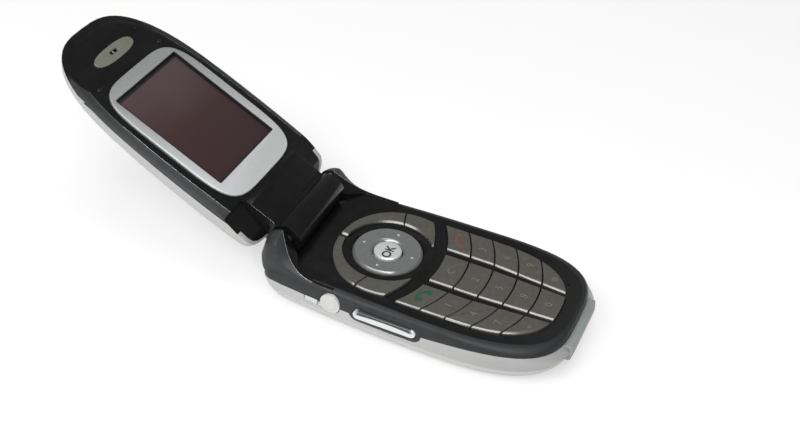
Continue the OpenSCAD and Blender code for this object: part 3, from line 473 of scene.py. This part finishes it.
# the oval that tells the base's outward sides, and the back of its ears, which take the painted
# sheen
baseOval = {"half": 23, "middle": 5, "length": 38, "start": 0.55, "facing": 0.1,
            "earInward": -0.2, "earBack": 41.5}


def baseSide(place, normal):
    if place.y > ridge["start"]:
        outside = abs(place.x) > ridgeX(place.y) and normal.x * place.x > baseOval["earInward"]
        return int(outside or place.y > baseOval["earBack"])
    out = Vector((place.x / baseOval["half"],
                  min(0, place.y + baseOval["middle"]) / baseOval["length"]))
    facing = Vector((normal.x, normal.y)).dot(out.normalized())
    return int(out.length > baseOval["start"] and facing > baseOval["facing"])


# the lid's sloped band outside the flat face, which takes the painted sheen, and the silver rim
# that climbs below it
lidBand = {"x": 17, "top": 2.19, "start": 15.8, "end": 70}
lidRim = {"z": 0.78, "climb": 0.014, "at": 31, "start": 10, "end": 66, "facing": 0.5}


def lidSide(place, normal):
    at = lidPoint(place * mm) / mm
    if abs(at.x) < lidBand["x"]:
        return 0
    top = lidRim["z"] + lidRim["climb"] * (at.y - lidRim["at"])
    if abs(normal.x) > lidRim["facing"] and at.z < top and lidRim["start"] < at.y < lidRim["end"]:
        return 2
    return int(at.z < lidBand["top"] and lidBand["start"] < at.y < lidBand["end"])


def paintGlintEdges(piece, width, chosen):
    # the sharpest creases get a pale bevel, a painted highlight
    piece.data.materials.append(polishedEdge)
    mesh = openMesh(piece)
    for edge in mesh.edges:
        if len(edge.link_faces) == 2:
            edge.select_set(chosen(edge, (edge.verts[0].co + edge.verts[1].co) / 2))
    bmesh.update_edit_mesh(piece.data)
    bpy.ops.mesh.bevel(offset=width * mm, segments=2, profile=0.5, affect="EDGES",
                       clamp_overlap=True, material=len(piece.data.materials) - 1)
    closeMesh()


def splitEdges(piece, cuts, chosen):
    mesh = openMesh(piece)
    for edge in mesh.edges:
        edge.select_set(chosen(edge))
    bmesh.update_edit_mesh(piece.data)
    bpy.ops.mesh.subdivide(number_cuts=cuts)
    closeMesh()


def twoFinishes(edge):
    return edge.link_faces[0].material_index != edge.link_faces[1].material_index


shoulder = {"x": 14.5, "z": 12.6, "start": 25, "end": 37.9, "polish": 0.34}


def shoulderCrease(edge, at):
    along = shoulder["start"] * mm < at.y < shoulder["end"] * mm
    outside = at.z > shoulder["z"] * mm and abs(at.x) > shoulder["x"] * mm
    return twoFinishes(edge) and along and outside


# the lid's tongue fills the gap between the ears, and only the middle of its edge gets the painted
# highlight
tongue = {"x": 13.2, "slack": 0.05, "z": 1.6, "start": 3, "end": 15.5, "angle": 0.9, "cuts": 7,
          "brightStart": 5, "brightEnd": 12.8}


def tongueEdge(edge):
    ends = [lidPoint(v.co) / mm for v in edge.verts]
    side = all(abs(abs(q.x) - tongue["x"]) < tongue["slack"] and q.z > tongue["z"] for q in ends)
    along = tongue["start"] < (ends[0].y + ends[1].y) / 2 < tongue["end"]
    return side and along and edge.calc_face_angle(0) > tongue["angle"]


crease = {"start": 16.2, "nearEnd": 52, "farEnd": 62, "z": 2.1, "polish": 0.22}


def lidCrease(edge, at):
    flat = lidPoint(at) / mm
    if twoFinishes(edge):
        end = crease["nearEnd"] if flat.x < 0 else crease["farEnd"]
        return crease["start"] < flat.y < end and flat.z > crease["z"]
    return tongueEdge(edge) and tongue["brightStart"] < flat.y < tongue["brightEnd"]


def makeShell(node, name, finish):
    piece = cleanCopy(node, name)
    standFor(piece, node, finish)
    return piece


def closeShell(piece):
    roundEdges(piece, shells["edge"], shells["segments"])
    smooth(piece)


deckShell = makeShell("front_housing", "baseFrontShell", glossBlack)
paintSides(deckShell, [slateSide], baseSide)
paintGlintEdges(deckShell, shoulder["polish"], shoulderCrease)
faceShell = makeShell("lid_inner_housing", "lidFaceShell", glossBlack)
paintSides(faceShell, [lidSlate, satinSilver], lidSide)
splitEdges(faceShell, tongue["cuts"], tongueEdge)
paintGlintEdges(faceShell, crease["polish"], lidCrease)
paleShells = [makeShell("rear_housing", "baseRearShell", satinSilver),
              makeShell("battery_cover", "batteryDoor", satinSilver),
              makeShell("lid_outer_cover", "lidBackShell", satinSilver)]
for shell in [deckShell, faceShell] + paleShells:
    closeShell(shell)
print("shells made")


# keys

keyLook = {"nearSlope": 0.48, "edge": 0.12, "steps": 3, "roundFrom": 24, "smoothTo": 30,
           "upright": 0.3, "turnStart": 0.58, "turnSpan": 0.2}


def makeKey(node, name, finish):
    # the near long side gets a flat slope, the other edges of the top a small round
    piece = cleanCopy(node, name)
    mesh = openMesh(piece)
    top = max(v.co.z for v in mesh.verts)
    weight = mesh.edges.layers.float.new("bevel_weight_edge")
    for edge in mesh.edges:
        walls = [f.normal for f in edge.link_faces if abs(f.normal.z) < keyLook["upright"]]
        if len(walls) == 1 and all(v.co.z > top - 0.01 * mm for v in edge.verts):
            share = (-walls[0].x - keyLook["turnStart"]) / keyLook["turnSpan"]
            edge[weight] = min(1, max(0, share))
    bmesh.update_edit_mesh(piece.data)
    closeMesh()
    applyModifier(piece, "BEVEL", width=keyLook["nearSlope"] * mm, segments=1,
                  limit_method="WEIGHT", use_clamp_overlap=False)
    roundEdges(piece, keyLook["edge"], keyLook["steps"], keyLook["roundFrom"])
    smooth(piece, keyLook["smoothTo"])
    standFor(piece, node, finish)


keyNodes = [n for n in cad if n.startswith(("key_", "softkey_"))]
for node in keyNodes:
    words = node.split("_")
    makeKey(node, words[0] + "".join(w.capitalize() for w in words[1:]) + "Cap", keyTaupe)
print("keys made:", len(keyNodes))


# turned pieces are drawn as half a section and screwed round

def turned(name, section, x, y, steps=112):
    mesh = bpy.data.meshes.new(name)
    points = [(r * mm, 0, z * mm) for r, z in section]
    mesh.from_pydata(points, [(i, i + 1) for i in range(len(section) - 1)], [])
    piece = bpy.data.objects.new(name, mesh)
    bpy.context.scene.collection.objects.link(piece)
    applyModifier(piece, "SCREW", angle=math.radians(360), steps=steps, render_steps=steps,
                  axis="Z", use_merge_vertices=True, merge_threshold=weld)
    openMesh(piece)
    bpy.ops.mesh.select_all(action="SELECT")
    bpy.ops.mesh.remove_doubles(threshold=weld)
    bpy.ops.mesh.normals_make_consistent(inside=False)
    closeMesh()
    piece.location = (x * mm, y * mm, 0)
    seat(piece)
    return piece


navRing = {"y": 13.8, "inner": 4.15, "outer": 9.65, "foot": 10.2, "wall": 12.2}
ringSection = [
    (navRing["inner"], navRing["foot"]), (navRing["inner"], navRing["wall"]),
    (4.2, 12.3), (4.75, 12.92), (4.95, 13.03), (5.3, 13.06), (6.4, 13.02), (7.6, 13.03),
    (8.6, 13.11), (8.9, 13.13), (9.02, 13.1), (9.5, 12.62), (9.58, 12.45),
    (navRing["outer"], navRing["wall"]), (navRing["outer"], navRing["foot"]),
    (navRing["inner"], navRing["foot"])]
navDisc = turned("navDisc", ringSection, 0, navRing["y"])
smooth(navDisc, 30)
standFor(navDisc, "nav_disc", navMetal)

okButton = {"y": 13.8, "radius": 3.85, "stem": 1.2, "foot": 9.3, "under": 10.25, "wall": 12.55,
            "top": 13.1}
okSection = [
    (0, okButton["foot"]), (okButton["stem"], okButton["foot"]),
    (okButton["stem"], okButton["under"]), (okButton["radius"], okButton["under"]),
    (okButton["radius"], okButton["wall"]), (3.78, 12.8), (3.58, 12.96), (3.2, 13.03),
    (2.2, 13.07), (1.0, 13.09), (0, okButton["top"])]
okCap = turned("okCap", okSection, 0, okButton["y"], 96)
smooth(okCap, 35)
standFor(okCap, "ok_key", brightMetal)
print("navigation pieces made")


# side key, side covers and trim

def makeTrim(node, name, finish, edge, steps=3, angle=32):
    piece = cleanCopy(node, name)
    roundEdges(piece, edge, steps, angle)
    smooth(piece)
    standFor(piece, node, finish)


makeTrim("volume_key", "sideKey", sideKeyMetal, 0.55, 4)
makeTrim("jack_strap", "capStrap", paleSilver, 0.35, 4)
makeTrim("connector_cover", "plugFlap", flapRubber, 0.22)
makeTrim("earpiece_grille", "earpieceOval", khakiMetal, 0.4, 4)
makeTrim("lid_bumpers", "faceBumpers", blackRubber, 0.16)
makeTrim("display_window", "screenLens", screenGlass, 0.08)

# the bezel's outer edge is rounded, and its opening stays sharp
bezelLook = {"edge": 0.2, "steps": 3, "x": 15, "root": 22, "tip": 58, "top": 2.7, "angle": 0.5}
bezel = cleanCopy("display_bezel", "screenBezel")
mesh = openMesh(bezel)
weight = mesh.edges.layers.float.new("bevel_weight_edge")
for edge in mesh.edges:
    flat = [lidPoint(v.co) / mm for v in edge.verts]
    outer = all(abs(q.x) > bezelLook["x"] or q.y < bezelLook["root"] or q.y > bezelLook["tip"]
                for q in flat)
    upper = all(q.z > bezelLook["top"] for q in flat)
    edge[weight] = int(outer and upper and edge.calc_face_angle(0) > bezelLook["angle"])
bmesh.update_edit_mesh(bezel.data)
closeMesh()
applyModifier(bezel, "BEVEL", width=bezelLook["edge"] * mm, segments=bezelLook["steps"],
              limit_method="WEIGHT", use_clamp_overlap=True)
smooth(bezel)
standFor(bezel, "display_bezel", brushedBezel)

makeTrim("jack_cover", "headsetCap", paleSilver, 0.25, 3, 60)
capRing = {"radius": 1.75, "half": 0.22, "height": 0.09, "sunk": -0.1, "steps": 64,
           "x": -22.5, "y": 20.1, "z": 8.6, "tilt": 5}
beadFlank = capRing["height"] * 0.8
beadShape = [(-1, capRing["sunk"]), (-0.6, beadFlank), (0, capRing["height"]), (0.6, beadFlank),
             (1, capRing["sunk"]), (-1, capRing["sunk"])]
ringBead = [(capRing["radius"] + capRing["half"] * across, z) for across, z in beadShape]
bead = turned("headsetCapRing", ringBead, 0, 0, capRing["steps"])
bead.rotation_euler = (0, math.radians(-90), math.radians(-capRing["tilt"]))
bead.location = (capRing["x"] * mm, capRing["y"] * mm, capRing["z"] * mm)
seat(bead)
smooth(bead, 60)
addOn(bead, "jack_cover", paleSilver)
print("trim made")


# the window's black lining and its printed border, drawn on the lid; the border's wider band at the
# tip is painted shade from the window's recess

screen = {"half": 14.4, "start": 22.5, "height": 34.9, "lens": 2.0, "bezel": 2.8, "wall": 0.28,
          "sunk": 0.06, "gap": 0.01, "edge": 0.05,
          "border": {"inset": 0.1, "under": 0.005, "top": 0.03, "side": 0.5, "tip": 1.1,
                     "root": 0.45}}


def frameOnLid(name, half, y0, y1, low, high, side, tip, root):
    bpy.ops.object.select_all(action="DESELECT")
    bpy.ops.mesh.primitive_plane_add(size=1, location=(0, (y0 + y1) / 2 * mm, low * mm))
    piece = bpy.context.object
    piece.name = name
    piece.scale = (2 * half * mm, (y1 - y0) * mm, 1)
    seat(piece)
    openMesh(piece, "FACE")
    bpy.ops.mesh.select_all(action="SELECT")
    bpy.ops.mesh.inset(thickness=side * mm)
    mesh = bmesh.from_edit_mesh(piece.data)
    middle = (y0 + y1) / 2 * mm
    for vert in mesh.verts:
        if abs(vert.co.x) < (half - side * 0.5) * mm:
            vert.co.y += (side - tip) * mm if vert.co.y > middle else (root - side) * mm
    bmesh.update_edit_mesh(piece.data)
    bpy.ops.mesh.delete(type="FACE")
    closeMesh()
    applyModifier(piece, "SOLIDIFY", thickness=(high - low) * mm, offset=1.0)
    roundEdges(piece, min(screen["edge"], (high - low) * 0.4), 2)
    smooth(piece)
    ontoLid(piece)
    return piece


screenEnd = screen["start"] + screen["height"]
lining = frameOnLid("screenLining", screen["half"] + screen["sunk"],
                    screen["start"] - screen["sunk"], screenEnd + screen["sunk"],
                    screen["lens"] + screen["gap"], screen["bezel"] - screen["gap"],
                    screen["wall"], screen["wall"], screen["wall"])
addOn(lining, "display_window", blackPrint)
# the border is print, and its wider band at the tip is painted shade
edge = screen["border"]
border = frameOnLid("screenBorder", screen["half"] - edge["inset"], screen["start"] + edge["inset"],
                    screenEnd - edge["inset"], screen["lens"] + edge["under"],
                    screen["lens"] + edge["top"], edge["side"], edge["tip"], edge["root"])
addOn(border, "display_window", blackPrint)
print("screen lining made")


# lettering and marks

lettering = {"depth": 0.02, "depthScale": 1.2, "curve": 6}


def word(text, name, width, height, x, y, z, weight=0.0):
    # without a width the letters keep their own proportions
    bpy.ops.object.select_all(action="DESELECT")
    bpy.ops.object.text_add(location=(0, 0, 0))
    piece = bpy.context.object
    piece.name = name
    piece.data.body = text
    piece.data.align_x = "CENTER"
    piece.data.align_y = "CENTER"
    piece.data.size = 1
    piece.data.extrude = lettering["depth"]
    piece.data.offset = weight
    piece.data.resolution_u = lettering["curve"]
    bpy.ops.object.convert(target="MESH")
    spot = [Vector(c) for c in piece.bound_box]
    low = Vector((min(p.x for p in spot), min(p.y for p in spot), 0))
    high = Vector((max(p.x for p in spot), max(p.y for p in spot), 0))
    size, middle = high - low, (low + high) / 2
    piece.data.transform(Matrix.Translation(-middle))
    wide = width / size.x if width else height / size.y
    piece.scale = (wide * mm, height / size.y * mm, lettering["depthScale"] * mm)
    piece.location = (x * mm, y * mm, z * mm)
    seat(piece)
    openMesh(piece)
    bpy.ops.mesh.select_all(action="SELECT")
    bpy.ops.mesh.remove_doubles(threshold=weld)
    closeMesh()
    return piece


okPrint = {"width": 5.1, "height": 2.6, "x": -0.6, "y": 13.4, "z": 13.085, "weight": 0.025}
okWord = word("OK", "okWord", okPrint["width"], okPrint["height"], okPrint["x"], okPrint["y"],
              okPrint["z"], okPrint["weight"])
addOn(okWord, "ok_key", darkPrint)

# the outer columns sit higher than the middle one, and the last row draws in
legend = {"height": 2.1, "starShare": 0.6, "z": 12.988, "column": 12.6, "lastColumn": 10.4,
          "firstRow": -4.635, "pitch": 6.87, "rise": 2.5, "lastRise": 1.68}
rowsOfKeys = [{"clear": "C"}, {"1": "1", "2": "2", "3": "3"}, {"4": "4", "5": "5", "6": "6"},
              {"7": "7", "8": "8", "9": "9"}, {"star": "*", "0": "0", "hash": "#"}]
for row, signs in enumerate(rowsOfKeys):
    last = row == len(rowsOfKeys) - 1
    for column, (key, sign) in enumerate(signs.items()):
        side = column - len(signs) // 2
        x = side * (legend["lastColumn"] if last else legend["column"])
        y = legend["firstRow"] - legend["pitch"] * row
        y += abs(side) * (legend["lastRise"] if last else legend["rise"])
        height = legend["height"] * (legend["starShare"] if key == "star" else 1)
        mark = word(sign, "legend_" + key, None, height, x, y, legend["z"])
        addOn(mark, "key_" + key, faintLegend)

handset = {"radius": 3.5, "sweep": 112, "steps": 14, "stroke": 0.85, "endLength": 1.0,
           "endSweep": 26, "endTurn": 0.8, "slack": 0.05, "thick": 0.04, "top": 13.0}


def makeHandset(name, x, y, turn):
    # a short stroke is spun into an arc, then each end is drawn inwards for ear and mouth
    bpy.ops.object.select_all(action="DESELECT")
    bpy.ops.mesh.primitive_plane_add(size=1)
    piece = bpy.context.object
    piece.name = name
    openMesh(piece, "VERT")
    half = math.radians(handset["sweep"] / 2)
    inner = handset["radius"] - handset["stroke"] / 2
    outer = handset["radius"] + handset["stroke"] / 2
    bpy.ops.mesh.select_all(action="SELECT")
    bpy.ops.mesh.merge(type="CENTER")
    mesh = bmesh.from_edit_mesh(piece.data)
    mesh.verts.ensure_lookup_table()
    mesh.verts[0].co = (inner * mm * math.sin(-half), inner * mm * math.cos(half), 0)
    mesh.verts[0].select_set(True)
    bmesh.update_edit_mesh(piece.data)
    step = (outer - inner) * mm
    bpy.ops.mesh.extrude_region_move(
        TRANSFORM_OT_translate={"value": (step * math.sin(-half), step * math.cos(half), 0)})
    bpy.ops.mesh.select_all(action="SELECT")
    bpy.ops.mesh.spin(steps=handset["steps"], angle=2 * half, center=(0, 0, 0), axis=(0, 0, 1))
    for side in (-1, 1):
        # the inner edges next to each end are drawn towards the middle
        mesh = bmesh.from_edit_mesh(piece.data)
        bpy.ops.mesh.select_all(action="DESELECT")
        for e in mesh.edges:
            spots = [math.degrees(math.atan2(v.co.x, v.co.y)) * side for v in e.verts]
            near = [v.co.length < (inner + handset["slack"]) * mm for v in e.verts]
            e.select_set(all(near) and min(spots) > handset["sweep"] / 2 - handset["endSweep"])
        bmesh.update_edit_mesh(piece.data)
        a, push = half * side * handset["endTurn"], -handset["endLength"] * mm
        bpy.ops.mesh.extrude_region_move(
            TRANSFORM_OT_translate={"value": (push * math.sin(a), push * math.cos(a), 0)})
    bpy.ops.mesh.select_all(action="SELECT")
    bpy.ops.mesh.remove_doubles(threshold=weld)
    bpy.ops.mesh.normals_make_consistent(inside=False)
    closeMesh()
    applyModifier(piece, "SOLIDIFY", thickness=handset["thick"] * mm, offset=0)
    piece.rotation_euler = (0, 0, math.radians(turn))
    piece.location = (x * mm, y * mm, handset["top"] * mm)
    seat(piece)
    return piece


addOn(makeHandset("callIcon", -13.4, -4.0, -27), "key_call", greenPrint)
addOn(makeHandset("endIcon", 14.2, -4.1, 25), "key_end", redPrint)

arrows = {"reach": 7.1, "size": 0.5, "thick": 0.05, "top": 13.02}
for turn, name in ((0, "arrowUp"), (90, "arrowLeft"), (180, "arrowDown"), (270, "arrowRight")):
    bpy.ops.object.select_all(action="DESELECT")
    bpy.ops.mesh.primitive_circle_add(vertices=3, radius=arrows["size"] * mm, fill_type="NGON")
    mark = bpy.context.object
    mark.name = name
    applyModifier(mark, "SOLIDIFY", thickness=arrows["thick"] * mm, offset=1)
    a = math.radians(turn)
    mark.rotation_euler = (0, 0, a)
    mark.location = (-arrows["reach"] * math.sin(a) * mm,
                     (navRing["y"] + arrows["reach"] * math.cos(a)) * mm, arrows["top"] * mm)
    seat(mark)
    addOn(mark, "nav_disc", paleMark)
print("lettering made")


# floor, light and camera

studio = {"floor": (0.9, 0.9, 0.895), "floorDip": 0.985, "glow": 0.5, "world": 0.24,
          "lamps": {"topLamp": {"at": (-0.12, -0.1, 0.95), "size": (0.6, 0.6), "power": 3.95},
                    "sideLamp": {"at": (-0.47, 0.03, 0.57), "size": (1.0, 0.24), "power": 5.9}},
          "aim": (0.0, 0.0, 0.015)}

bpy.ops.object.select_all(action="DESELECT")
bpy.ops.mesh.primitive_plane_add(size=6, location=(0, 0, -0.1 * mm))
floor = bpy.context.object
floor.name = "floor"
floorDip = tuple(c * studio["floorDip"] for c in studio["floor"])
paper = makePlain("paleFloor", floorDip, studio["floor"], 0.75, 0.9, scale=30)
tree = paper.node_tree
# the glow shows to the camera and in reflections, and adds no light elsewhere
rays = tree.nodes.new("ShaderNodeLightPath")
seen = rays.outputs["Is Camera Ray"]
for kind in ("Is Glossy Ray", "Is Transmission Ray"):
    seen = maths(tree, "MAXIMUM", seen, rays.outputs[kind])
glow = tree.nodes.new("ShaderNodeEmission")
blend = tree.nodes.new("ShaderNodeMixShader")
tree.links.new(between(tree, seen, 0, 1, 0, studio["glow"]), blend.inputs[0])
tree.links.new(tree.nodes["Principled BSDF"].outputs[0], blend.inputs[1])
tree.links.new(glow.outputs[0], blend.inputs[2])
tree.links.new(blend.outputs[0], tree.nodes["Material Output"].inputs["Surface"])
floor.data.materials.append(paper)

world = bpy.data.worlds.new("studio")
bpy.context.scene.world = world
world.use_nodes = True
sky = world.node_tree.nodes["Background"]
sky.inputs["Color"].default_value = (1, 1, 1, 1)
sky.inputs["Strength"].default_value = studio["world"]

for name, lamp in studio["lamps"].items():
    light = bpy.data.lights.new(name, "AREA")
    light.shape = "RECTANGLE"
    light.size, light.size_y = lamp["size"]
    light.energy = lamp["power"]
    holder = bpy.data.objects.new(name, light)
    bpy.context.scene.collection.objects.link(holder)
    holder.location = lamp["at"]
    towards = Vector(studio["aim"]) - Vector(lamp["at"])
    holder.rotation_euler = towards.to_track_quat("-Z", "Y").to_euler()

shot = {"at": (-0.2454, -0.0813, 0.2331), "back": (-0.731, -0.275, 0.625), "roll": -5.14,
        "lens": 57.15, "sensor": 36, "clip": 0.01}
back = Vector(shot["back"]).normalized()
level = Vector((0, 0, 1)).cross(back).normalized()
down = -back.cross(level)
c, s = math.cos(math.radians(shot["roll"])), math.sin(math.radians(shot["roll"]))
right, drop = level * c + down * s, down * c - level * s
lens = bpy.data.cameras.new("photoCamera")
lens.lens = shot["lens"]
lens.sensor_width = shot["sensor"]
lens.clip_start = shot["clip"]
camera = bpy.data.objects.new("photoCamera", lens)
bpy.context.scene.collection.objects.link(camera)
turnTo = Matrix((right, -drop, back)).transposed().to_4x4()
camera.matrix_world = Matrix.Translation(shot["at"]) @ turnTo
bpy.context.scene.camera = camera
bpy.context.scene.view_settings.view_transform = "Standard"
print("studio set")
